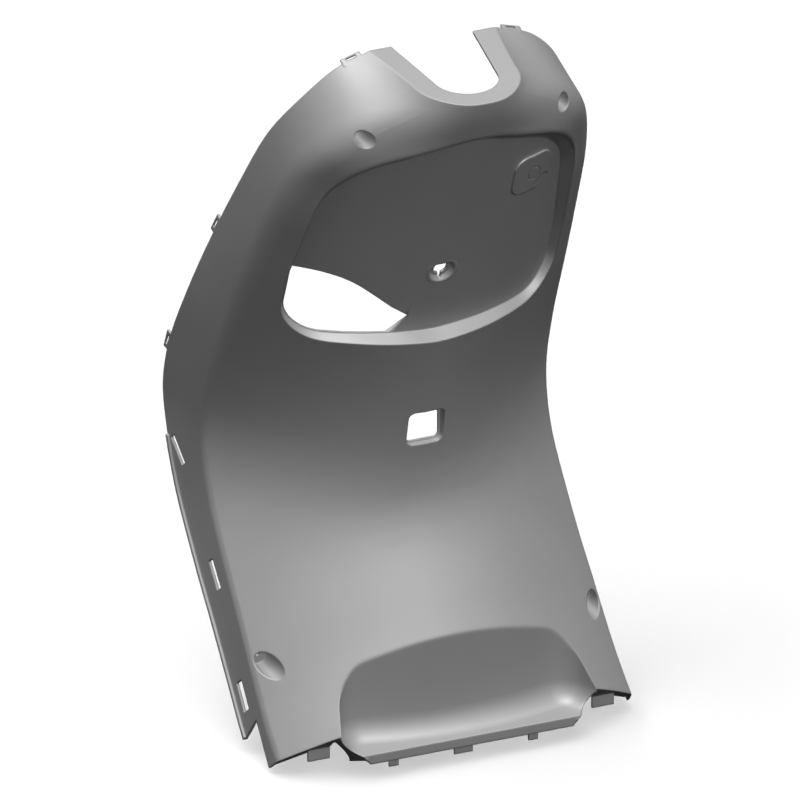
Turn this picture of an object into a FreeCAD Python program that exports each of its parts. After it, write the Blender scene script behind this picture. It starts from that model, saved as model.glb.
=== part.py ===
import FreeCAD, Part
import math
import os
import Sketcher
from BOPTools import SplitAPI
from FreeCAD import Vector

# Inner leg-shield panel of a scooter: one injection moulding, rider side towards -Y,
# +Z up, +X to the rider's right.  The origin is midway between the two upper screws.

# Single sizes in millimetres (degrees for tilts and leans).
SIZES = {
    "wall": 2.5,
    "upper_screw_pitch": 200.0,
    "upper_well_bore": 16.0,
    "upper_well_depth": 29.0,
    "lower_screw_pitch": 327.0,
    "lower_screw_forward": 69.5,
    "lower_screw_height": -562.5,
    "lower_well_bore": 19.7,
    "lower_well_depth": 33.0,
    "screw_clearance": 5.5,
    "well_wall": 2.2,
    "collar_notch_front": 41.6,
    "collar_notch_rear": 32.0,
    "collar_front_edge": 72.0,
    "collar_arc_centre": -5.5,
    "collar_arc_radius": 31.0,
    "collar_height": 45.0,
    "collar_forward": -24.0,
    "collar_tilt": 4.0,
    "foot_height": -633.4,
    "foot_forward": 18.5,
    "foot_tilt": -42.0,
    "foot_return": 9.3,
    "hook_height": -353.7,
    "hook_width": 36.5,
    "hook_round": 6.5,
    "hook_sleeve": 13.0,
    "hook_step": 2.0,
    "rim_top": 0.1,
    "rim_top_x": 14.8,
    "rim_top_round": 91.0,
    "rim_shoulder_x": 126.6,
    "rim_shoulder_z": -37.0,
    "rim_side_x": 139.0,
    "rim_side_z": -170.0,
    "rim_floor_z": -246.3,
    "rim_bottom": -252.3,
    "rim_shoulder_round": 85.0,
    "rim_side_round": 140.0,
    "rim_floor_round": 42.0,
    "seat_top": -13.2,
    "seat_top_x": 13.0,
    "seat_top_round": 78.0,
    "seat_shoulder_x": 119.0,
    "seat_shoulder_z": -49.0,
    "seat_shoulder_round": 76.0,
    "seat_inset": 4.8,
    "back_wall_radius": 210.0,
    "back_wall_forward": 73.2,
    "back_wall_height": -242.6,
    "back_wall_lean": 21.0,
    "cut_x_0": -150.0,
    "cut_z_0": -167.3,
    "cut_x_1": -111.7,
    "cut_z_1": -168.6,
    "cut_x_2": -85.8,
    "cut_z_2": -178.8,
    "cut_x_3": -56.6,
    "cut_z_3": -201.9,
    "cut_x_4": -26.1,
    "cut_z_4": -226.5,
    "cut_ledge": 1.0,
    "lock_height": -176.9,
    "lock_boss_radius": 15.5,
    "lock_pocket_radius": 12.7,
    "lock_pocket_floor": 10.0,
    "lock_pocket_depth": 5.0,
    "lock_flat": 9.5,
    "keyhole_radius": 6.5,
    "keyhole_slot": 3.2,
    "keyhole_slot_reach": 9.5,
    "pad_left": 59.5,
    "pad_right": 104.0,
    "pad_top": -60.5,
    "pad_bottom": -104.5,
    "pad_round": 13.0,
    "pad_height": 2.2,
    "pad_ring_radius": 7.6,
    "pad_ring_width": 1.0,
    "pad_ring_depth": 0.5,
    "pad_notch_radius": 8.0,
    "pad_notch_x": 97.0,
    "pad_notch_z": -98.0,
    "web_start_x": 129.3,
    "web_start_y": -13.9,
    "web_start_z": -606.3,
    "web_end_x": 106.1,
    "web_end_y": -23.1,
    "web_end_z": -628.5,
    "web_tilt": -24.0,
    "web_depth": 48.0,
    "web_waist": 27.0,
    "web_heel": 22.0,
    "edge_rib_height": 2.3,
    "edge_rib_width": 2.6,
    "edge_rib_overlap": 0.4,
    "edge_rib_top": -402.0,
    "wedge_forward": 65.9,
    "wedge_height": -611.5,
    "wedge_tip_forward": 80.6,
    "wedge_tip_height": -637.6,
    "wedge_heel_forward": 30.9,
    "wedge_heel_height": -647.6,
    "slot_length": 28.5,
    "slot_slant": 48.0,
    "slot_forward_0": 242.9,
    "slot_height_0": -411.6,
    "slot_width_0": 6.3,
    "slot_forward_1": 166.0,
    "slot_height_1": -506.6,
    "slot_width_1": 7.0,
    "slot_forward_2": 93.9,
    "slot_height_2": -599.1,
    "slot_width_2": 10.0,
    "clip_place_0": 0.0462,
    "clip_place_1": 0.3175,
    "clip_place_2": 0.506,
    "clip_thickness": 2.0,
    "clip_root": 4.0,
    "clip_length": 20.0,
    "clip_reach": 6.0,
    "clip_slot_length": 10.0,
    "clip_slot_width": 3.2,
    "foot_tab_x": 143.5,
    "foot_tab_width": 22.0,
    "foot_tab_forward": 4.4,
    "foot_tab_bottom": -632.5,
    "foot_inner_x": 129.0,
    "foot_outer_x": 170.0,
    "niche_floor": -624.0,
    "niche_height": 160.0,
    "niche_centre_y": 6.5,
    "niche_shoulder_x": 85.0,
    "niche_shoulder_y": 17.5,
    "niche_corner_x": 115.6,
    "niche_corner_round": 24.0,
    "niche_foot_x": 129.2,
    "niche_foot_y": -15.0,
    "niche_floor_round": 19.0,
    "lip_forward": -21.8,
    "lip_half_width": 106.0,
    "lip_bottom": -633.5,
    "tab_forward": -1.9,
    "tab_bottom": -650.0,
    "middle_tab_width": 18.5,
    "side_tab_width": 9.3,
    "side_tab_x": 70.4,
}

# One row per cross-section, from the collar down to the footboard: half width at the
# crease, forward position and height of the crease, tilt of the section plane, bow of
# the face ahead of the crease, fullness of the bow, depth and flare of the side band,
# and length of the rounding at the crease.
STATIONS = (
    (44.2, -27.9, 49.8, 2.5, 30.8, 2.54, 99.9, 13.6, 23.6),
    (77.8, -8.3, 26.0, 14.5, 43.5, 2.35, 82.0, 3.5, 20.5),
    (104.6, 2.8, 11.1, 21.0, 48.2, 2.10, 75.0, -4.5, 20.5),
    (131.0, 17.0, -15.0, 21.0, 53.7, 1.98, 71.0, -3.5, 21.0),
    (149.1, 44.4, -50.0, 15.0, 63.0, 2.15, 70.5, -3.0, 20.0),
    (157.8, 69.5, -92.6, 10.0, 70.4, 2.25, 71.5, -0.5, 18.0),
    (163.0, 96.3, -138.9, 5.0, 79.6, 2.25, 73.2, 3.0, 15.5),
    (166.0, 117.6, -178.7, 2.0, 87.0, 2.15, 74.5, 7.0, 13.0),
    (168.3, 135.2, -212.1, 0.0, 93.5, 2.05, 75.0, 9.8, 11.0),
    (170.8, 158.3, -257.4, 0.0, 100.9, 1.92, 75.0, 12.0, 9.3),
    (173.0, 181.5, -303.7, 0.0, 109.7, 1.84, 74.1, 12.5, 7.4),
    (174.1, 196.3, -340.8, 0.0, 114.8, 1.83, 70.4, 12.2, 6.0),
    (174.3, 203.7, -370.4, 0.0, 115.8, 1.88, 64.8, 11.2, 5.1),
    (173.9, 202.5, -400.0, -4.0, 111.6, 1.95, 57.0, 11.0, 4.6),
    (173.4, 187.1, -439.9, -15.0, 99.1, 1.98, 53.0, 10.0, 4.2),
    (173.8, 168.0, -467.6, -24.0, 87.5, 1.98, 50.0, 9.2, 3.8),
    (174.3, 145.4, -496.3, -31.0, 80.6, 2.00, 48.2, 8.5, 3.8),
    (174.9, 121.8, -524.1, -37.0, 79.6, 2.00, 46.3, 8.0, 3.8),
    (175.8, 102.3, -546.3, -40.0, 80.6, 1.98, 45.4, 7.7, 3.8),
    (176.9, 77.0, -576.0, -42.0, 82.4, 2.00, 44.4, 7.2, 3.8),
    (178.1, 50.0, -605.6, -42.0, 84.7, 2.08, 43.5, 7.0, 3.8),
    (179.0, 18.5, -633.4, -42.0, 87.0, 2.15, 42.6, 7.0, 3.8),
    (179.9, -13.0, -661.2, -42.0, 89.3, 2.22, 41.7, 7.0, 3.8),
)
COLUMNS = ("half_width", "crease_forward", "crease_height", "tilt", "bow",
           "fullness", "band_depth", "band_flare", "crease_round")

FACE_STEPS = (0, .2, .4, .58, .75, .9, 1)

document = FreeCAD.newDocument("front_panel")
sheet = document.addObject("Spreadsheet::Sheet", "Sizes")
for line, (name, value) in enumerate(SIZES.items(), 1):
    sheet.set(f"A{line}", name)
    sheet.set(f"B{line}", str(value))
    sheet.setAlias(f"B{line}", name)
for line, station in enumerate(STATIONS):
    for letter, column, value in zip("DEFGHIJKL", COLUMNS, station):
        sheet.set(f"{letter}{line + 1}", str(value))
        sheet.setAlias(f"{letter}{line + 1}", f"{column}_{line}")
document.recompute()


def size(name):
    return float(sheet.get(name))


def feature(label, shape):
    """Keep a computed shape in the document under its name."""
    item = document.addObject("Part::Feature", label)
    item.Label = label
    item.Shape = shape
    return item


ACROSS = Vector(1, 0, 0)
wall = size("wall")
rows = [{column: size(f"{column}_{line}") for column in COLUMNS}
        for line in range(len(STATIONS))]


# The skin: cross-sections in tilted planes, each with a bowed face, a rounding at the
# crease and a straight side band running forward to the mating edge.
def tilted(tilt):
    """Unit vector pointing forward, tilted about X."""
    angle = math.radians(tilt)
    return Vector(0, math.cos(angle), math.sin(angle))


def section(row):
    """Points and tangents on the right half: the face, the crease corner, the band."""
    ahead = tilted(row["tilt"])
    crease = Vector(row["half_width"], row["crease_forward"], row["crease_height"])

    def on_face(x):
        share = x / row["half_width"]
        depth = -row["bow"] * (1 - share ** row["fullness"])
        slope = row["bow"] * row["fullness"] / row["half_width"]
        slope *= share ** (row["fullness"] - 1) if share > 0 else 0
        point = Vector(x, crease.y, crease.z) + ahead * depth
        return point, (ACROSS + ahead * slope).normalize()

    steepness = row["bow"] * row["fullness"] / row["half_width"]
    reach = row["half_width"] - row["crease_round"] / math.hypot(1, steepness)
    face = [on_face(reach * step) for step in FACE_STEPS]
    start, along = face[-1]
    corner = start + along * row["crease_round"]
    band = ACROSS * row["band_flare"] + ahead * row["band_depth"]
    edge = crease + band
    outward = band.normalize()
    finish = crease + outward * row["crease_round"]
    return face, corner, [(finish, outward), (edge, outward)]


sections = [section(row) for row in rows]
FACE_COUNT = len(FACE_STEPS)
grid_points = [[point for point, _ in face + band] for face, _, band in sections]
grid_tangents = [[along for _, along in face + band] for face, _, band in sections]


def run_down(line, place):
    """Direction of the skin from row to row at one grid point."""
    if line == 0:
        run = grid_points[1][place] - grid_points[0][place]
    elif line == len(grid_points) - 1:
        run = grid_points[line][place] - grid_points[line - 1][place]
    else:
        before = grid_points[line][place] - grid_points[line - 1][place]
        after = grid_points[line + 1][place] - grid_points[line][place]
        run = before * (after.Length / before.Length) + after * (before.Length / after.Length)
    if place == 0:
        run.x = 0
    return run


def row_normals(line):
    """Unit vectors out of the skin along one row, the band sharing one of them."""
    out = [run_down(line, place).cross(along).normalize()
           for place, along in enumerate(grid_tangents[line])]
    out[-2:] = [(out[-1] + out[-2]).normalize()] * 2
    return out


grid_normals = [row_normals(line) for line in range(len(rows))]


def grid_at(depth, spare=0):
    """Rows of control columns at a depth under the outer skin, the band run on."""
    grid = []
    for (_, corner, _), points, normals in zip(sections, grid_points, grid_normals):
        moved = [point - normal * depth for point, normal in zip(points, normals)]
        before, after = normals[FACE_COUNT - 1], normals[FACE_COUNT]
        turned = corner - (before + after) * (depth / (1 + before.dot(after)))
        moved[-1] = moved[-1] + (moved[-1] - moved[-2]).normalize() * spare
        grid.append([*moved[:FACE_COUNT], turned, *moved[FACE_COUNT:]])
    return grid


def spaced(lines):
    """Parameters from 0 to 1 by the mean distance between successive lines of points."""
    distances = [0.0]
    for one, other in zip(lines, lines[1:]):
        step = sum((b - a).Length for a, b in zip(one, other)) / len(one)
        distances.append(distances[-1] + step)
    return [distance / distances[-1] for distance in distances]


ROW_PARAMETERS = spaced(grid_at(0))


def curve_through(points, parameters):
    curve = Part.BSplineCurve()
    curve.interpolate(Points=points, Parameters=parameters)
    return curve


def surface_over(lines, degree):
    """Surface through rows of points; a degree under 3 takes them as control points."""
    if degree == 3:
        parameters = spaced(list(zip(*lines)))
        curves = [curve_through(list(line), parameters) for line in lines]
        lines = [curve.getPoles() for curve in curves]
        knots = curves[0].getKnots()
        counts = curves[0].getMultiplicities()
    else:
        knots = [0.0, 1.0]
        counts = [degree + 1] * 2
    columns = [curve_through(list(column), ROW_PARAMETERS) for column in zip(*lines)]
    poles = list(zip(*(column.getPoles() for column in columns)))
    surface = Part.BSplineSurface()
    surface.buildFromPolesMultsKnots([list(line) for line in poles],
                                     columns[0].getMultiplicities(), counts,
                                     columns[0].getKnots(), knots,
                                     False, False, 3, degree)
    return surface


def mirrored(line):
    return [Vector(-point.x, point.y, point.z) for point in reversed(line)]


def skin_surfaces(depth, spare=0):
    """The face, then the rounding and band of the right side and of the left."""
    grid = grid_at(depth, spare)
    face = [mirrored(line[:FACE_COUNT])[:-1] + line[:FACE_COUNT] for line in grid]
    rounding = [line[FACE_COUNT - 1:FACE_COUNT + 2] for line in grid]
    band = [line[FACE_COUNT + 1:] for line in grid]
    return [surface_over(face, 3),
            surface_over(rounding, 2),
            surface_over(band, 1),
            surface_over([mirrored(line) for line in rounding], 2),
            surface_over([mirrored(line) for line in band], 1)]


def strip(one, other):
    return Part.makeRuledSurface(one.toShape(), other.toShape())


def closed_solid(faces):
    shell = Part.makeShell(faces)
    shell.sewShape()
    solid = Part.makeSolid(shell if shell.ShapeType == "Shell" else shell.Shells[0])
    if solid.Volume < 0:
        solid.reverse()
    return solid


def between(outer, inner):
    """Solid between two sets of skin surfaces, closed at the ends and outer edges."""
    faces = [surface.toShape() for surface in outer + inner]
    for one, other in zip(outer, inner):
        first, last = one.bounds()[:2]
        faces.append(strip(one.uIso(first), other.uIso(first)))
        faces.append(strip(one.uIso(last), other.uIso(last)))
    right, left = (2, 4) if len(outer) > 1 else (0, 0)
    end = outer[right].bounds()[3]
    start = outer[left].bounds()[2]
    faces.append(strip(outer[right].vIso(end), inner[right].vIso(end)))
    faces.append(strip(outer[left].vIso(start), inner[left].vIso(start)))
    return closed_solid(faces)


REACH = 900.0
RUN_OUT = 60.0
outer_skin = skin_surfaces(0)
middle_skin = skin_surfaces(wall / 2, RUN_OUT)
skin = between(outer_skin, skin_surfaces(wall))
middle_faces = [surface.toShape() for surface in middle_skin]


def piece_at(solid, tools, point):
    """Cut a solid apart with surfaces and give the piece that holds a point."""
    pieces = SplitAPI.slice(solid, tools, "Split", 0)
    return next(piece for piece in pieces.Solids if piece.isInside(point, .01, True))


def beyond(forward, height, tilt, upward):
    """Large block on one side of a plane tilted about X."""
    block = Part.makeBox(REACH, REACH, REACH, Vector(-REACH / 2, -REACH / 2, 0))
    if not upward:
        block.translate(Vector(0, 0, -REACH))
    block.rotate(Vector(), ACROSS, tilt)
    block.translate(Vector(0, forward, height))
    return block


above_collar = beyond(size("collar_forward"), size("collar_height"), size("collar_tilt"), True)
below_feet = beyond(size("foot_forward"), size("foot_height"), size("foot_tilt"), False)
panel = skin.cut([above_collar, below_feet])


# The collar: a flat plate across the top, notched for the steering column.
plate = beyond(size("collar_forward"), size("collar_height"), size("collar_tilt"), False)
floor_of_plate = beyond(size("collar_forward"), size("collar_height") - wall,
                        size("collar_tilt"), False)
plate = plate.cut(floor_of_plate)
front = size("collar_front_edge")
plate = plate.common(Part.makeBox(REACH, REACH, REACH, Vector(-REACH / 2, front - REACH, 0)))
collar_middle = Vector(0, size("collar_forward"), size("collar_height") - wall / 2)
collar = piece_at(plate, middle_faces, collar_middle)

notch = document.addObject("Sketcher::SketchObject", "notch")
notch.Placement.Base = Vector(0, 0, size("collar_height") - 4 * wall)
arc_radius = size("collar_arc_radius")
arc_centre = size("collar_arc_centre")
slant = math.atan2(size("collar_notch_front") - arc_radius, front - arc_centre)
tangent = Vector(math.cos(slant), -math.sin(slant), 0) * arc_radius
corners = [Vector(tangent.x, arc_centre + tangent.y, 0),
           Vector(size("collar_notch_front"), front + wall, 0)]
corners += [Vector(-corner.x, corner.y, 0) for corner in reversed(corners)]
notch.addGeometry([Part.LineSegment(corners[0], corners[1]),
                   Part.LineSegment(corners[1], corners[2]),
                   Part.LineSegment(corners[2], corners[3]),
                   Part.Arc(corners[3], Vector(0, arc_centre - arc_radius, 0), corners[0])], False)
notch_cut = document.addObject("Part::Extrusion", "notch_cut")
notch_cut.Base = notch
notch_cut.Dir = Vector(0, 0, 1)
notch_cut.LengthFwd = RUN_OUT
notch_cut.Solid = True
document.recompute()
panel = panel.fuse(collar).cut(notch_cut.Shape)


# Screw wells: tubes running forward from the skin to a drilled floor.
FORWARD = Vector(0, 1, 0)


def rod(radius, start, length):
    return Part.makeCylinder(radius, length, start, FORWARD)


def ahead_of_skin(solid, point):
    """The part of a solid that lies under the outer skin, round a point."""
    return piece_at(solid, middle_faces, point)


wells = []
bores = []
for bore, depth, pitch, start in (
        (size("upper_well_bore"), size("upper_well_depth"), size("upper_screw_pitch"), Vector()),
        (size("lower_well_bore"), size("lower_well_depth"), size("lower_screw_pitch"),
         Vector(0, size("lower_screw_forward"), size("lower_screw_height")))):
    for side in (-1, 1):
        mouth = start + ACROSS * (side * pitch / 2)
        seat = mouth + FORWARD * depth
        outside = mouth - FORWARD * RUN_OUT
        tube = rod(bore / 2 + size("well_wall"), outside, RUN_OUT + depth + wall)
        wells.append(ahead_of_skin(tube, seat + FORWARD * (wall / 2)))
        bores.append(rod(bore / 2, outside, RUN_OUT + depth))
        bores.append(rod(size("screw_clearance") / 2, seat - FORWARD * wall, 3 * wall))
panel = panel.fuse(wells).cut(bores)


# The hook socket: a rounded square opening with a sleeve and an inner step.
def rounded_bar(width, rounding, start, length, height):
    bar = Part.makeBox(width, length, width, Vector(-width / 2, start, height - width / 2))
    along = [edge for edge in bar.Edges
             if abs((edge.Vertexes[0].Point - edge.Vertexes[-1].Point).normalize().y) > .99]
    return bar.makeFillet(rounding, along)


hook_width = size("hook_width")
hook_round = size("hook_round")
hook_height = size("hook_height")
hook_face = outer_skin[0]
hook_line = Part.Line(Vector(0, -RUN_OUT, hook_height), Vector(0, 0, hook_height))
hook_point = hook_line.intersectCS(hook_face)[0][0]
hook_forward = hook_point.Y
sleeve_end = hook_forward + size("hook_sleeve")
outside = hook_forward - RUN_OUT
sleeve = rounded_bar(hook_width + 2 * wall, hook_round + wall, outside,
                     sleeve_end - outside, hook_height)
sleeve = ahead_of_skin(sleeve, Vector(0, sleeve_end - wall / 2, hook_height))
step = size("hook_step")
mouth = rounded_bar(hook_width, hook_round, outside, sleeve_end - wall - outside, hook_height)
throat = rounded_bar(hook_width - 2 * step, hook_round - step, outside,
                     sleeve_end + wall - outside, hook_height)
panel = panel.fuse(sleeve).cut([mouth, throat])


# Outlines: half polygons with rounded corners, mirrored about the centre plane.
def rounded_half(corners, counts):
    """Points along a half outline, with their number on each straight and each arc."""
    counts = iter(counts)
    points = []
    start = corners[0][0]
    for (before, _), (corner, radius), (after, _) in zip(corners, corners[1:], corners[2:]):
        into = (corner - before).normalize()
        out = (after - corner).normalize()
        reach = radius * math.tan(into.getAngle(out) / 2)
        first = corner - into * reach
        last = corner + out * reach
        centre = first + (out - into * into.dot(out)).normalize() * radius
        count = next(counts)
        points += [start + (first - start) * (k / count) for k in range(count)]
        count = next(counts)
        sweep = into.getAngle(out)
        arm = first - centre
        points += [centre + arm * math.cos(sweep * k / count)
                   + into * (radius * math.sin(sweep * k / count)) for k in range(count)]
        start = last
    count = next(counts)
    points += [start + (corners[-1][0] - start) * (k / count) for k in range(count + 1)]
    return points


# The glove recess: a sloping wall from the rim on the skin to a bowed, leaning back wall.
def front_view(x, z):
    return Vector(x, 0, z)


seat_inset = size("seat_inset")
RIM = ((front_view(0, size("rim_top")), 0),
       (front_view(size("rim_top_x"), size("rim_top")), size("rim_top_round")),
       (front_view(size("rim_shoulder_x"), size("rim_shoulder_z")), size("rim_shoulder_round")),
       (front_view(size("rim_side_x"), size("rim_side_z")), size("rim_side_round")),
       (front_view(size("rim_side_x"), size("rim_floor_z")), size("rim_floor_round")),
       (front_view(0, size("rim_bottom")), 0))
SEAT = ((front_view(0, size("seat_top")), 0),
        (front_view(size("seat_top_x"), size("seat_top")), size("seat_top_round")),
        (front_view(size("seat_shoulder_x"), size("seat_shoulder_z")), size("seat_shoulder_round")),
        (front_view(size("rim_side_x") - seat_inset, size("rim_side_z")), size("rim_side_round")),
        (front_view(size("rim_side_x") - seat_inset, size("rim_floor_z") + seat_inset),
         size("rim_floor_round") - seat_inset),
        (front_view(0, size("rim_bottom") + seat_inset), 0))
PIECE_COUNTS = (0, 3, 4, 4, 5, 1, 3, 5, 5)

lean = size("back_wall_lean")
lean_axis = tilted(90 + lean)


def back_wall(radius):
    """Solid cylinder ahead of the recess, its nearest line on the back wall."""
    nearest = Vector(0, size("back_wall_forward"), size("back_wall_height"))
    centre = nearest + tilted(lean) * size("back_wall_radius")
    return Part.makeCylinder(radius, 2 * REACH, centre - lean_axis * REACH, lean_axis)


def forward_onto(point, surface):
    """Where a line running forward through a point meets a surface."""
    line = Part.Line(Vector(point.x, 0, point.z), Vector(point.x, 1, point.z))
    hits = line.intersectCS(surface)[0]
    return min((Vector(hit.X, hit.Y, hit.Z) for hit in hits), key=lambda hit: hit.y)


def loop_of(half):
    """A whole outline from its right half, from the top round to the top again."""
    return half + [Vector(-point.x, point.y, point.z) for point in reversed(half[:-1])]


def closed_curve(points, parameters):
    curve = Part.BSplineCurve()
    curve.interpolate(Points=points[:-1], Parameters=parameters, PeriodicFlag=True)
    return curve


def ring_solid(rim, seat, growth):
    """Solid through the rim and the seat, run straight on past both to flat ends."""
    count = len(rim) - 1
    lines = []
    for k, (start, end) in enumerate(zip(rim, seat)):
        run = (end - start).normalize()
        around = rim[(k + 1) % count] - rim[(k - 1) % count]
        side = around.cross(run).normalize() * growth
        near = start - run * RING_SPARE + side
        far = end + run * RING_SPARE + side
        lines.append((Vector(near.x, -RING_REACH, near.z), near, far,
                      Vector(far.x, RING_REACH, far.z)))
    parameters = spaced([[point] for point in rim])
    curves = [closed_curve(list(points), parameters) for points in zip(*lines)]
    faces = [Part.makeRuledSurface(one.toShape(), other.toShape())
             for one, other in zip(curves, curves[1:])]
    faces += [Part.Face(Part.Wire(curve.toShape())) for curve in (curves[0], curves[-1])]
    return closed_solid(faces)


RING_SPARE = 4.0
RING_REACH = 250.0
back_radius = size("back_wall_radius")
back_surface = next(face.Surface for face in back_wall(back_radius).Faces
                    if isinstance(face.Surface, Part.Cylinder))
rim = loop_of([forward_onto(point, outer_skin[0]) for point in rounded_half(RIM, PIECE_COUNTS)])
seat = loop_of([forward_onto(point, back_surface) for point in rounded_half(SEAT, PIECE_COUNTS)])
recess_middle = (rim[0] + rim[len(rim) // 2]) * .5
back_middle = forward_onto(recess_middle, back_surface)


recess = ring_solid(rim, seat, 0).cut(back_wall(back_radius))
recess_shell = ring_solid(rim, seat, wall).cut(back_wall(back_radius - wall))
recess_shell = piece_at(recess_shell, [middle_faces[0]], back_middle + FORWARD * (wall / 2))
panel = panel.fuse(recess_shell).cut(recess)


# The arch niche over the footboard: upright wall, flat floor, rounded between the two.
niche_floor = size("niche_floor")
shoulder = Vector(size("niche_shoulder_x"), size("niche_shoulder_y"), 0)
bow = shoulder.y - size("niche_centre_y")
bow_radius = (shoulder.x ** 2 + bow ** 2) / (2 * bow)
bow_slope = shoulder.x / (bow_radius - bow)
corner = shoulder + Vector(1, bow_slope, 0) * (size("niche_corner_x") - shoulder.x)
foot = Vector(size("niche_foot_x"), size("niche_foot_y"), 0)
wall_line = [shoulder, corner, foot, foot + (foot - corner) * 2]


def niche_block(growth):
    """The niche, or with a growth the niche and the wall round it."""
    centre = Vector(0, size("niche_centre_y"), 0)
    left_line = [Vector(-point.x, point.y, 0) for point in wall_line]
    edges = [Part.Arc(left_line[0], centre, wall_line[0]).toShape()]
    edges += [Part.makeLine(a, b) for a, b in zip(wall_line, wall_line[1:])]
    edges.append(Part.makeLine(wall_line[-1], left_line[-1]))
    edges += [Part.makeLine(a, b) for a, b in zip(left_line[::-1], left_line[-2::-1])]
    outline = Part.Wire(Part.__sortEdges__(edges))
    block = Part.Face(outline).extrude(Vector(0, 0, size("niche_height")))
    block.translate(Vector(0, 0, niche_floor))
    upright = [edge for edge in block.Edges
               if edge.BoundBox.ZLength > size("niche_height") - wall
               and math.hypot(abs(edge.Vertexes[0].X) - corner.x,
                              edge.Vertexes[0].Y - corner.y) < wall]
    block = block.makeFillet(size("niche_corner_round"), upright)
    if growth:
        block = block.makeOffsetShape(growth, .01, join=2)
    base = [edge for edge in block.Edges
            if edge.BoundBox.ZMax < niche_floor - growth + wall / 2
            and edge.BoundBox.YMax > -RUN_OUT]
    return block.makeFillet(size("niche_floor_round") + growth, base)


def box_about(x, half_width, y_range, z_range):
    low = Vector(x - half_width, y_range[0], z_range[0])
    return Part.makeBox(2 * half_width, y_range[1] - y_range[0], z_range[1] - z_range[0], low)


lip_forward = size("lip_forward")
below_floor = niche_floor - wall / 2
niche = niche_block(0)
niche_wall = niche_block(wall).cut(niche)
niche_wall = niche_wall.cut(box_about(0, REACH / 2, (-REACH, lip_forward), (-REACH, REACH)))
niche_wall = piece_at(niche_wall, middle_faces,
                      Vector(0, (lip_forward + size("niche_centre_y")) / 2, below_floor))
lip = box_about(0, size("lip_half_width"), (lip_forward, lip_forward + wall),
                (size("lip_bottom"), below_floor))


# Each lower corner of the niche is cut off aslant, and a web hangs from the cut edge.
def frame_on(corner, along, across):
    """Placement at a corner with X along one direction and Y near another."""
    upright = along.cross(across).normalize()
    return FreeCAD.Placement(corner, FreeCAD.Rotation(along, upright.cross(along), upright, "XZY"))


def mirror_image(shape):
    return shape.mirror(Vector(), ACROSS)


web_start = Vector(size("web_start_x"), size("web_start_y"), size("web_start_z"))
web_end = Vector(size("web_end_x"), size("web_end_y"), size("web_end_z"))
web_ahead = tilted(size("web_tilt"))
aslant = web_start - web_end
web_out = aslant.cross(web_ahead).normalize()
corner_off = Part.makeBox(2 * RUN_OUT, 2 * RUN_OUT, RUN_OUT, Vector(-RUN_OUT, -RUN_OUT, 0))
corner_off.Placement = frame_on(web_end, aslant.normalize(), web_ahead)
aslant = web_start - web_end
if corner_off.CenterOfMass.x < web_end.x:
    corner_off.translate(web_out * -RUN_OUT)
    web_out = web_out * -1
web_foot = web_end + web_ahead * size("web_depth")
web_heel = web_start + web_ahead * size("web_heel")
web_waist = web_end + aslant / 2 + web_ahead * size("web_waist")
web_edge = [Part.makeLine(web_heel, web_start), Part.makeLine(web_start, web_end),
            Part.makeLine(web_end, web_foot),
            Part.Arc(web_foot, web_waist, web_heel).toShape()]
web = Part.Face(Part.Wire(web_edge)).extrude(web_out * -wall)
corners_off = [corner_off, mirror_image(corner_off)]
niche_wall = niche_wall.cut(corners_off)
lip = lip.cut(corners_off)


# Along each foot the skin turns in, and a tab hangs from the turned edge.
foot_plane = (size("foot_forward"), size("foot_height"), size("foot_tilt"))
foot_ahead = tilted(size("foot_tilt"))


def on_foot(x):
    """Where the foot's edge line has a given X on the outer skin."""
    start = Vector(x, size("foot_forward"), size("foot_height"))
    line = Part.Line(start - foot_ahead, start)
    return Vector(*[getattr(line.intersectCS(outer_skin[0])[0][0], axis) for axis in "XYZ"])


foot_start = on_foot(size("foot_inner_x"))
foot_end = on_foot(size("foot_outer_x"))
foot_run = foot_end - foot_start
foot_return = size("foot_return")
turned = Part.makeBox(foot_run.Length + RUN_OUT, RUN_OUT, wall,
                      Vector(-foot_return, foot_return - RUN_OUT, 0))
turned.Placement = frame_on(foot_start, foot_run.normalize(), foot_ahead)
tab_x = size("foot_tab_x")
tab_forward = size("foot_tab_forward")
foot_slab = beyond(*foot_plane, True).cut(
    beyond(foot_plane[0], foot_plane[1] + wall / foot_ahead.y, foot_plane[2], True))
shelf = box_about(tab_x, size("foot_tab_width") / 2, (tab_forward - RUN_OUT, tab_forward + wall),
                  (foot_start.z - RUN_OUT, foot_start.z + RUN_OUT)).common(foot_slab)
inside_foot = on_foot(tab_x) + foot_ahead * (2 * wall)
inside_foot.z += wall / 2
foot_plate = piece_at(turned.fuse(shelf), middle_faces, inside_foot)
foot_tab = box_about(tab_x, size("foot_tab_width") / 2, (tab_forward, tab_forward + wall),
                     (size("foot_tab_bottom"), size("foot_tab_bottom") + RUN_OUT))
foot_tab = foot_tab.cut(beyond(foot_plane[0], foot_plane[1] + wall / 2, foot_plane[2], True))
foot_pieces = [web, foot_plate, foot_tab]
foot_pieces += [mirror_image(piece) for piece in foot_pieces]

tabs = [box_about(x, width / 2, (size("tab_forward"), size("tab_forward") + wall),
                  (size("tab_bottom"), niche_floor + size("niche_floor_round") / 2))
        for x, width in ((0, size("middle_tab_width")),
                         (-size("side_tab_x"), size("side_tab_width")),
                         (size("side_tab_x"), size("side_tab_width")))]
panel = panel.fuse([niche_wall, lip, *foot_pieces, *tabs]).cut(niche)


# Through the back wall: a cut-away low on the left, its ledge left along the flange.
def front_prism(wire_or_edges, start, length):
    """Prism along Y over an outline drawn in the front view."""
    outline = Part.Wire(Part.__sortEdges__(wire_or_edges))
    prism = Part.Face(outline).extrude(FORWARD * length)
    prism.translate(FORWARD * start)
    return prism


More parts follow.
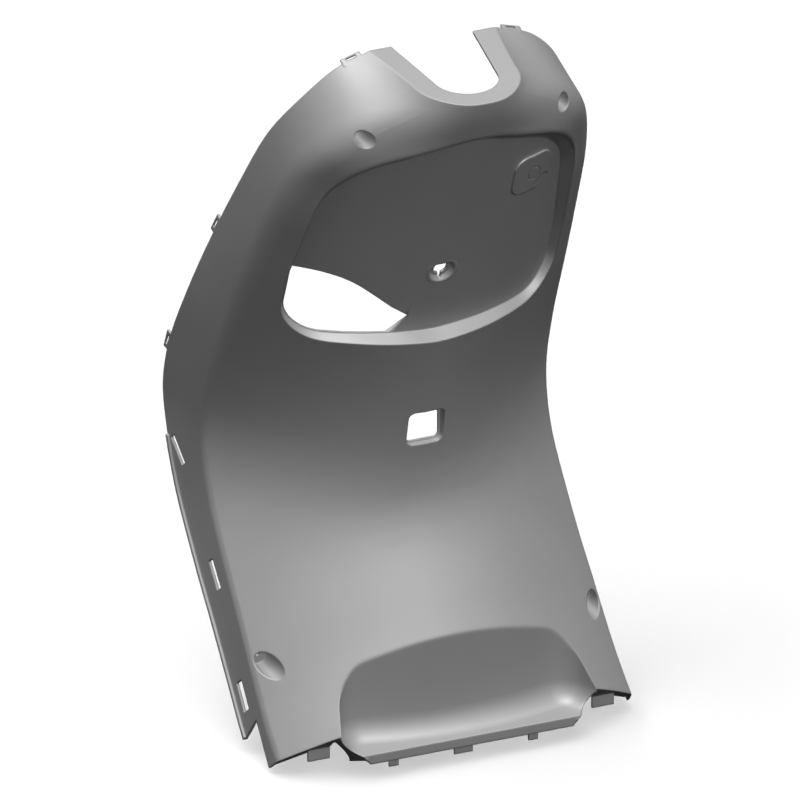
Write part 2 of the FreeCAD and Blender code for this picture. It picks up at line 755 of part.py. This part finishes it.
CUT_POINTS = 5
cut_line = [front_view(size(f"cut_x_{k}"), size(f"cut_z_{k}")) for k in range(CUT_POINTS)]
cut_curve = Part.BSplineCurve()
cut_curve.interpolate(cut_line)
low = size("rim_bottom") - wall
closing = [cut_line[-1], front_view(cut_line[-1].x, low), front_view(cut_line[0].x, low),
           cut_line[0]]
region = front_prism([cut_curve.toShape()] + [Part.makeLine(a, b)
                                              for a, b in zip(closing, closing[1:])],
                     -RING_REACH, 2 * RING_REACH)
flat_seat = [front_view(point.x, point.z) for point in seat]
seat_places = spaced([[point] for point in flat_seat])
seat_curve = closed_curve(flat_seat, seat_places)
inwards = [seat_curve.tangent(place)[0].cross(FORWARD) for place in seat_places]
seat_middle = front_view(0, recess_middle.z)
ledge_line = [point + inward * math.copysign(size("cut_ledge"), inward.dot(seat_middle - point))
              for point, inward in zip(flat_seat, inwards)]
inside_seat = front_prism([closed_curve(ledge_line, seat_places).toShape()],
                          -RING_REACH, 2 * RING_REACH)
cut_away = region.common(inside_seat)


# The lock: a boss behind the wall, a dished pocket with a flat top and a keyhole.
def on_back_wall(shape, x, z):
    """Move a shape drawn about +Z so that it stands out of the back wall."""
    seat_point = forward_onto(front_view(x, z), back_surface)
    outward = tilted(lean) * -1
    shape.Placement = FreeCAD.Placement(seat_point, FreeCAD.Rotation(Vector(0, 0, 1), outward))
    return shape


lock_depth = size("lock_pocket_depth")
boss_length = lock_depth + wall
lock_height = size("lock_height")
boss = Part.makeCylinder(size("lock_boss_radius"), boss_length, Vector(0, 0, -boss_length))
pocket = Part.makeCone(size("lock_pocket_floor"), size("lock_pocket_radius"),
                       lock_depth, Vector(0, 0, -lock_depth))
pocket = pocket.fuse(Part.makeCylinder(size("lock_pocket_radius"), wall))
keyhole = Part.makeCylinder(size("keyhole_radius"), 4 * boss_length,
                            Vector(0, 0, -2 * boss_length))
slot_width = size("keyhole_slot")
slot_reach = size("keyhole_slot_reach")
boss = on_back_wall(boss, 0, lock_height)
pocket = on_back_wall(pocket, 0, lock_height)
above_flat = box_about(0, RUN_OUT, (-REACH, REACH),
                       (lock_height + size("lock_flat"), lock_height + RUN_OUT))
pocket = pocket.cut(above_flat)
keyhole = on_back_wall(keyhole, 0, lock_height)
slot = box_about(0, slot_width / 2, (0, RUN_OUT * 2),
                 (lock_height - slot_reach, lock_height))


# The pad: a raised rounded square on the back wall with a plain ring and a finger notch.
pad_box = box_about((size("pad_left") + size("pad_right")) / 2,
                    (size("pad_right") - size("pad_left")) / 2,
                    (-RUN_OUT, RUN_OUT), (size("pad_bottom"), size("pad_top")))
pad_box = pad_box.makeFillet(size("pad_round"), [edge for edge in pad_box.Edges
                                                 if edge.BoundBox.YLength > RUN_OUT])
pad_height = size("pad_height")
pad = pad_box.common(back_wall(back_radius + pad_height)).cut(back_wall(back_radius - wall / 2))
ring_x = (size("pad_left") + size("pad_right")) / 2 + wall
ring_z = (size("pad_bottom") + size("pad_top")) / 2 - wall / 2
ring_radius = size("pad_ring_radius")
groove = rod(ring_radius, Vector(ring_x, -RUN_OUT, ring_z), 2 * RUN_OUT).cut(
    rod(ring_radius - size("pad_ring_width"), Vector(ring_x, -RUN_OUT, ring_z), 2 * RUN_OUT))
groove = groove.cut(back_wall(back_radius + pad_height - size("pad_ring_depth")))
pad_notch = rod(size("pad_notch_radius"),
                Vector(size("pad_notch_x"), -RUN_OUT, size("pad_notch_z")), 2 * RUN_OUT)
pad_notch = pad_notch.cut(rod(ring_radius + wall / 2, Vector(ring_x, -RUN_OUT, ring_z),
                              2 * RUN_OUT)).cut(back_wall(back_radius))
pad = pad.cut([groove, pad_notch])
panel = panel.fuse([boss, pad]).cut([pocket, keyhole, slot, cut_away])


# The side flanges: an outward rib on the lower mating edge, three clip slots through the
# flange and a wedge cut out of its foot.
RIGHT = 2
rib_height = size("edge_rib_height")
rib_width = size("edge_rib_width")
rib = between([skin_surfaces(-rib_height, size("edge_rib_overlap"))[RIGHT]],
              [skin_surfaces(wall / 2, size("edge_rib_overlap"))[RIGHT]])
rib = rib.cut(between([skin_surfaces(-rib_height - wall, -rib_width)[RIGHT]],
                      [skin_surfaces(2 * wall, -rib_width)[RIGHT]]))
rib = rib.cut([below_feet,
               box_about(0, REACH, (-REACH, REACH), (size("edge_rib_top"), REACH))])
ribs = [rib, mirror_image(rib)]


def side_prism(corners):
    """Prism across the whole panel over a polygon of forward and height pairs."""
    outline = [Vector(-REACH / 2, forward, height) for forward, height in corners]
    return Part.Face(Part.makePolygon(outline + outline[:1])).extrude(ACROSS * REACH)


apex = Vector(0, size("wedge_forward"), size("wedge_height"))
tip = Vector(0, size("wedge_tip_forward"), size("wedge_tip_height"))
heel = Vector(0, size("wedge_heel_forward"), size("wedge_heel_height"))
wedge_corners = [apex, apex + (tip - apex) * 4, apex + (heel - apex) * 2]
wedge = side_prism([(corner.y, corner.z) for corner in wedge_corners])

SLOT_COUNT = 3
slots = []
for number in range(SLOT_COUNT):
    width = size(f"slot_width_{number}")
    opening = box_about(0, REACH / 2, (-size("slot_length") / 2, size("slot_length") / 2),
                        (-width / 2, width / 2))
    opening.rotate(Vector(), ACROSS, size("slot_slant"))
    opening.translate(Vector(0, size(f"slot_forward_{number}"), size(f"slot_height_{number}")))
    slots.append(opening)


# Clip tabs stand on the upper mating edge, each with a slot for a spring clip.
CLIP_COUNT = 3
band_middle = skin_surfaces(wall / 2)[RIGHT]
edge_parameter = band_middle.bounds()[3]
clips = []
for number in range(CLIP_COUNT):
    place = size(f"clip_place_{number}")
    foot_of_clip = band_middle.value(place, edge_parameter)
    run, rise = band_middle.tangent(place, edge_parameter)
    thickness = size("clip_thickness")
    clip = box_about(0, size("clip_length") / 2, (-size("clip_root"), size("clip_reach")),
                     (-thickness / 2, thickness / 2))
    clip = clip.cut(box_about(0, size("clip_slot_length") / 2,
                              (size("clip_reach") / 2 - size("clip_slot_width") / 2,
                               size("clip_reach") / 2 + size("clip_slot_width") / 2),
                              (-thickness, thickness)))
    clip.Placement = frame_on(foot_of_clip, run, rise)
    clips += [clip, mirror_image(clip)]
panel = panel.fuse([*ribs, *clips]).cut([wedge, *slots])


# The frame's origin is moved from the mouths of the upper wells to their screw seats.
front_panel = feature("front_panel", panel.Solids[0])
front_panel.Placement.Base = Vector(0, -size("upper_well_depth"), 0)
document.recompute()
for item in document.Objects:
    assert not {"Invalid", "Error"} & set(item.State), item.Label
assert front_panel.Shape.isValid() and len(panel.Solids) == 1
os.makedirs("parts", exist_ok=True)
front_panel.Shape.exportStep("parts/front_panel.step")
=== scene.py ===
# %% [markdown]
# # Scooter front panel
# The real object is the inner panel of a motor scooter, in front of the rider's legs.  It
# is one injection-moulded shell in plain grey plastic, with a notched collar, a glove
# recess, a square hook socket and an arched foot niche.
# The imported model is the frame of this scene, and its mesh stays as it is.  The script adds
# what a mesh cannot say: the surface of the plastic, the studio and the camera.

# %% Load the frame
import math

import bpy
from mathutils import Matrix, Vector


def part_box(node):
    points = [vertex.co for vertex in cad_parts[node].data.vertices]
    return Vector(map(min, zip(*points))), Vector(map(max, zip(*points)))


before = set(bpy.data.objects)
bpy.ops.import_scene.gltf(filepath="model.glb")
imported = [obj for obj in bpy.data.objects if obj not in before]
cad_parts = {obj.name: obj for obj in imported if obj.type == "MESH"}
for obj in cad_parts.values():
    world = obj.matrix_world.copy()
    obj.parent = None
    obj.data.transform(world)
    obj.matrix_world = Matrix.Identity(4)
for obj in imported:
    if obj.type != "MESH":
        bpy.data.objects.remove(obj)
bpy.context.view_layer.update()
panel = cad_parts["front_panel"]
low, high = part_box("front_panel")
print("panel box, m:", [round(v, 3) for v in (*low, *high)])


# %% [markdown]
# ## Shader maths
# A material is a tree of nodes, and formulas in it soon turn into long lists of links.  A
# small wrapper round a node's output lets a formula be written as a formula: each operator
# adds its Math node.

# %% A number that lives in a shader
class Sock:
    """An output socket that is used like a number."""

    def __init__(self, tree, socket):
        self.tree = tree
        self.socket = socket

    def math(self, operation, other=None, flip=False):
        node = self.tree.nodes.new("ShaderNodeMath")
        node.operation = operation
        mine, theirs = (1, 0) if flip else (0, 1)
        self.tree.links.new(self.socket, node.inputs[mine])
        if isinstance(other, Sock):
            self.tree.links.new(other.socket, node.inputs[theirs])
        elif other is not None:
            node.inputs[theirs].default_value = other
        return Sock(self.tree, node.outputs[0])

    def __add__(self, other):
        return self.math("ADD", other)

    def __sub__(self, other):
        return self.math("SUBTRACT", other)

    def __rsub__(self, other):
        return self.math("SUBTRACT", other, flip=True)

    def __mul__(self, other):
        return self.math("MULTIPLY", other)

    def __gt__(self, other):
        return self.math("GREATER_THAN", other)

    def __lt__(self, other):
        return self.math("LESS_THAN", other)

    def __abs__(self):
        return self.math("ABSOLUTE")

    __radd__ = __add__
    __rmul__ = __mul__


print("operators of a shader number: + - * < > abs")


# %% [markdown]
# Nodes that are not plain sums come from one method that takes the node's type, its
# settings and what its sockets receive.  A value that changes over the surface is linked to
# the shader, and a value that is the same everywhere is set on the shader's own socket.

# %% A material and its nodes
class Surface:
    """A material's node tree, with its Principled shader."""

    def __init__(self, name):
        self.material = bpy.data.materials.new(name)
        self.material.use_nodes = True
        self.tree = self.material.node_tree
        self.shader = next(node for node in self.tree.nodes
                           if node.type == "BSDF_PRINCIPLED")

    def node(self, kind, inputs=None, output=0, **settings):
        """Add a node, set it up and return one of its outputs."""
        made = self.tree.nodes.new(kind)
        for name, value in settings.items():
            setattr(made, name, value)
        for name, value in (inputs or {}).items():
            self.join(value, made.inputs[name])
        return Sock(self.tree, made.outputs[output])

    def join(self, value, target):
        if isinstance(value, Sock):
            self.tree.links.new(value.socket, target)
        else:
            target.default_value = value

    def grey(self, value):
        """The colour with the same value in red, green and blue."""
        return self.node("ShaderNodeCombineColor",
                         {"Red": value, "Green": value, "Blue": value})

    def fade(self, value, full, gone):
        """1 where the value is at full or beyond, 0 where it is at gone or beyond."""
        return self.node("ShaderNodeMapRange",
                         {"Value": value, "From Min": full, "From Max": gone,
                          "To Min": 1.0, "To Max": 0.0})

    def feed(self, name, value):
        self.join(value, self.shader.inputs[name])


plastic = Surface("moulded_plastic")
print("material:", plastic.material.name)


# %% [markdown]
# ## Colour and gloss of the plastic
# The panel is unpainted, in a mid grey with a faint satin sheen.  One flat colour would do,
# but pigment never mixes quite evenly, so clouds a hand wide shift the grey and the
# roughness by a trace.  A noise texture in the object's own coordinates gives them, because
# it needs no unwrapping and stays put when the view turns.

# %% Colour and gloss
PLASTIC_GREY = 0.30
CLOUD_SIZE = 0.09         # metres across a cloud
CLOUD_DETAIL = 3.0
CLOUD_HARSHNESS = 0.5
CLOUD_TONE = 0.04
SMOOTHEST = 0.58          # roughness where a cloud is darkest
CLOUD_ROUGHNESS = 0.06
SPECULAR_LEVEL = 0.7

place = plastic.node("ShaderNodeTexCoord", output="Object")
cloud = plastic.node("ShaderNodeTexNoise", {"Vector": place, "Scale": 1 / CLOUD_SIZE,
                                            "Detail": CLOUD_DETAIL,
                                            "Roughness": CLOUD_HARSHNESS})
plastic.feed("Base Color", plastic.grey(cloud * CLOUD_TONE + (PLASTIC_GREY - CLOUD_TONE / 2)))
plastic.feed("Roughness", cloud * CLOUD_ROUGHNESS + SMOOTHEST)
plastic.feed("Specular IOR Level", SPECULAR_LEVEL)
print("grey from", PLASTIC_GREY - CLOUD_TONE / 2, "to", PLASTIC_GREY + CLOUD_TONE / 2)


# %% [markdown]
# ## Roll into the foot niche
# A mould leaves a radius on each edge.  Cutting radii into the mesh would change the frame,
# so a Bevel node bends the shading instead.  It looks for other faces within its radius, so
# the radius stays under the wall's thickness, or the node finds the back of the wall.
# The arch of the foot niche is an exception: the real panel rolls softly into it.  A mask
# finds the arch by its line, a parabola when seen from above, between two heights.

# %% The arch of the foot niche
ARCH_FORWARD = -0.0225        # the niche's wall on the centre line
ARCH_BOW = 1.52               # how fast it runs forward towards the sides, per metre
ARCH_TOP = -0.500
ARCH_FOOT = -0.590            # the edge is sharp below this height
ARCH_REACH = (0.010, 0.016)   # full up to the first distance, gone at the second

across, forward, height = (plastic.node("ShaderNodeSeparateXYZ", {"Vector": place}, output=axis)
                           for axis in "XYZ")
off_arch = abs(forward - (across * across * ARCH_BOW + ARCH_FORWARD))
on_arch = plastic.fade(off_arch, *ARCH_REACH) * (height > ARCH_FOOT) * (height < ARCH_TOP)
print("arch roll between heights", ARCH_FOOT, "and", ARCH_TOP)


# %% [markdown]
# ## Roll at the top of the glove recess
# The upper rim of the recess is a wide roll too, and it sharpens down the sides.  Seen from
# the front, that part of the rim is the outline of a bar with round ends, which is all the
# points at one distance from a short straight run.  So the mask is the distance to that
# run, less the radius.  The rim is the same on both sides, and taking the side distance
# without its sign halves the work.

# %% The top of the recess
RUN_START = (0.0043, -0.0860)   # distance from the centre plane and height
RUN_END = (0.0470, -0.1002)
RIM_RADIUS = 0.085
RIM_REACH = (0.012, 0.017)
RIM_TOP = -0.035
RIM_FOOT = -0.075               # the rim is sharp below this height

run = (RUN_END[0] - RUN_START[0], RUN_END[1] - RUN_START[1])
aside, above = abs(across) - RUN_START[0], height - RUN_START[1]
share = (aside * run[0] + above * run[1]) * (1 / (run[0] ** 2 + run[1] ** 2))
share = share.math("MAXIMUM", 0.0).math("MINIMUM", 1.0)
aside, above = aside - share * run[0], above - share * run[1]
off_rim = abs((aside * aside + above * above).math("SQRT") - RIM_RADIUS)
on_rim = plastic.fade(off_rim, *RIM_REACH) * plastic.fade(height, RIM_TOP, RIM_FOOT)
print("length of the straight run, m:", round(math.hypot(*run), 4))


# %% [markdown]
# ## Soft edges and mould grain
# The masks widen the Bevel's radius in their two places, and everywhere else it keeps the
# small radius of a moulded edge.  The grain is the fine spark-eroded texture of the mould:
# a tight noise through a Bump node, so low that only a close view resolves it.

# %% Edges and grain
EDGE_SOFTNESS = 0.0022    # the radii, in metres
ARCH_SOFTNESS = 0.007
RIM_SOFTNESS = 0.012
EDGE_SAMPLES = 16
GRAIN_SIZE = 0.0011       # metres between bumps
GRAIN_DETAIL = 2.0
GRAIN_HARSHNESS = 0.6
GRAIN_HEIGHT = 0.00004
GRAIN_STRENGTH = 0.5

softness = (on_arch * (ARCH_SOFTNESS - EDGE_SOFTNESS)
            + on_rim * (RIM_SOFTNESS - EDGE_SOFTNESS) + EDGE_SOFTNESS)
edges = plastic.node("ShaderNodeBevel", {"Radius": softness}, samples=EDGE_SAMPLES)
grain = plastic.node("ShaderNodeTexNoise", {"Vector": place, "Scale": 1 / GRAIN_SIZE,
                                            "Detail": GRAIN_DETAIL,
                                            "Roughness": GRAIN_HARSHNESS})
plastic.feed("Normal", plastic.node("ShaderNodeBump", {"Height": grain, "Normal": edges,
                                                       "Distance": GRAIN_HEIGHT,
                                                       "Strength": GRAIN_STRENGTH}))
for holder in panel.material_slots:
    holder.material = plastic.material
print("plastic on slots:", len(panel.material_slots))


# %% [markdown]
# ## Floor
# The panel stands on a pale floor.  A white floor under a bright object throws light back
# up at it, which greys the undersides.  Light Path tells the floor's shader which ray asks:
# the floor is white to the camera and black to all others, so it takes the panel's shadow
# and throws no light back.

# %% Floor
FLOOR_SPAN = 12.0
FLOOR_GAP = 0.001

bpy.ops.mesh.primitive_plane_add(size=FLOOR_SPAN, location=(0, 0, low[2] - FLOOR_GAP))
floor = bpy.context.object
floor.name = "floor"
pale = Surface("pale_floor")
pale.feed("Base Color", pale.grey(pale.node("ShaderNodeLightPath", output="Is Camera Ray")))
pale.feed("Roughness", 1.0)
pale.feed("Specular IOR Level", 0.0)
floor.data.materials.append(pale.material)
print("floor at", round(floor.location.z, 4))


# %% [markdown]
# ## Sky
# The sky does the same trick.  To the camera it is white, and to the panel it is a weak
# even light that keeps the shaded side from going black.

# %% Sky
SKY_LIGHT = 0.20
WHITE = (1, 1, 1, 1)

world = bpy.data.worlds.new("studio")
bpy.context.scene.world = world
world.use_nodes = True
sky = world.node_tree
even = sky.nodes["Background"]
ray = sky.nodes.new("ShaderNodeLightPath")
white = sky.nodes.new("ShaderNodeBackground")
mixer = sky.nodes.new("ShaderNodeMixShader")
even.inputs["Color"].default_value = WHITE
even.inputs["Strength"].default_value = SKY_LIGHT
white.inputs["Color"].default_value = WHITE
sky.links.new(ray.outputs["Is Camera Ray"], mixer.inputs[0])
sky.links.new(even.outputs[0], mixer.inputs[1])
sky.links.new(white.outputs[0], mixer.inputs[2])
sky.links.new(mixer.outputs[0], sky.nodes["World Output"].inputs["Surface"])
print("sky light:", SKY_LIGHT)


# %% [markdown]
# ## Lights
# Wide suns give the soft studio light.  The key comes from above in front of the panel and
# brightens the lower half.  A weak sun from the front lifts the upright faces.  Two suns
# share the direction of the fill, and only one of them casts shadows, so the shadows stay
# faint and the recess stays readable.
# The sheen comes from behind and is seen in the gloss alone.  It draws the bright band
# where the panel bends towards the footboard, and leaves the grey as it is elsewhere.

# %% Lights
FILL_SIDE = (-0.346, -0.025, 0.938)
SUNS = (                  # name, where it shines from, strength, width in degrees, shadow
    ("key", (0.118, -0.557, 0.822), 1.8, 20, False),
    ("fill", FILL_SIDE, 0.7, 60, False),
    ("shade", FILL_SIDE, 0.5, 60, True),
    ("front", (-0.36, -0.825, 0.435), 0.25, 60, False),
    ("sheen", (-0.094, 0.226, 0.970), 10.5, 20, False),
)
GLOSS_ONLY = {"sheen"}

for name, source, strength, width, shadow in SUNS:
    light = bpy.data.lights.new(name, "SUN")
    light.energy = strength
    light.angle = math.radians(width)
    light.use_shadow = shadow
    sun = bpy.data.objects.new(name, light)
    sun.rotation_euler = Vector(source).to_track_quat("Z", "Y").to_euler()
    sun.visible_diffuse = name not in GLOSS_ONLY
    bpy.context.scene.collection.objects.link(sun)
print("suns:", len(SUNS))


# %% [markdown]
# ## Camera
# The picture is a parallel projection from the panel's left and above, so the camera is
# orthographic: its distance changes nothing, and one number sets how many metres the
# picture spans.  The well mouths' midpoint, which lies above and to the right of the
# picture's centre, fixes where the camera aims.

# %% Camera
TURN = math.radians(23.6)
RISE = math.radians(25.8)
PICTURE = 0.7408          # metres across the picture
WELL_DEPTH = 0.029
RIGHT_OF_CENTRE = 0.0583  # the well mouths' midpoint in the picture
ABOVE_CENTRE = 0.2593
DISTANCE = 3              # metres from the panel to the camera
FAR_CLIP = 20

right = Vector((math.cos(TURN), -math.sin(TURN), 0))
up = Vector((math.sin(TURN) * math.sin(RISE), math.cos(TURN) * math.sin(RISE), math.cos(RISE)))
back = right.cross(up)
target = Vector((0, -WELL_DEPTH, 0)) - right * RIGHT_OF_CENTRE - up * ABOVE_CENTRE
camera = bpy.data.cameras.new("camera")
camera.type = "ORTHO"
camera.ortho_scale = PICTURE
camera.clip_end = FAR_CLIP
eye = bpy.data.objects.new("camera", camera)
axes = Matrix((right, up, back)).transposed().to_4x4()
eye.matrix_world = Matrix.Translation(target + back * DISTANCE) @ axes
bpy.context.scene.collection.objects.link(eye)
bpy.context.scene.camera = eye
bpy.context.scene.view_settings.view_transform = "Standard"
print("camera looks from", [round(v, 3) for v in eye.location])
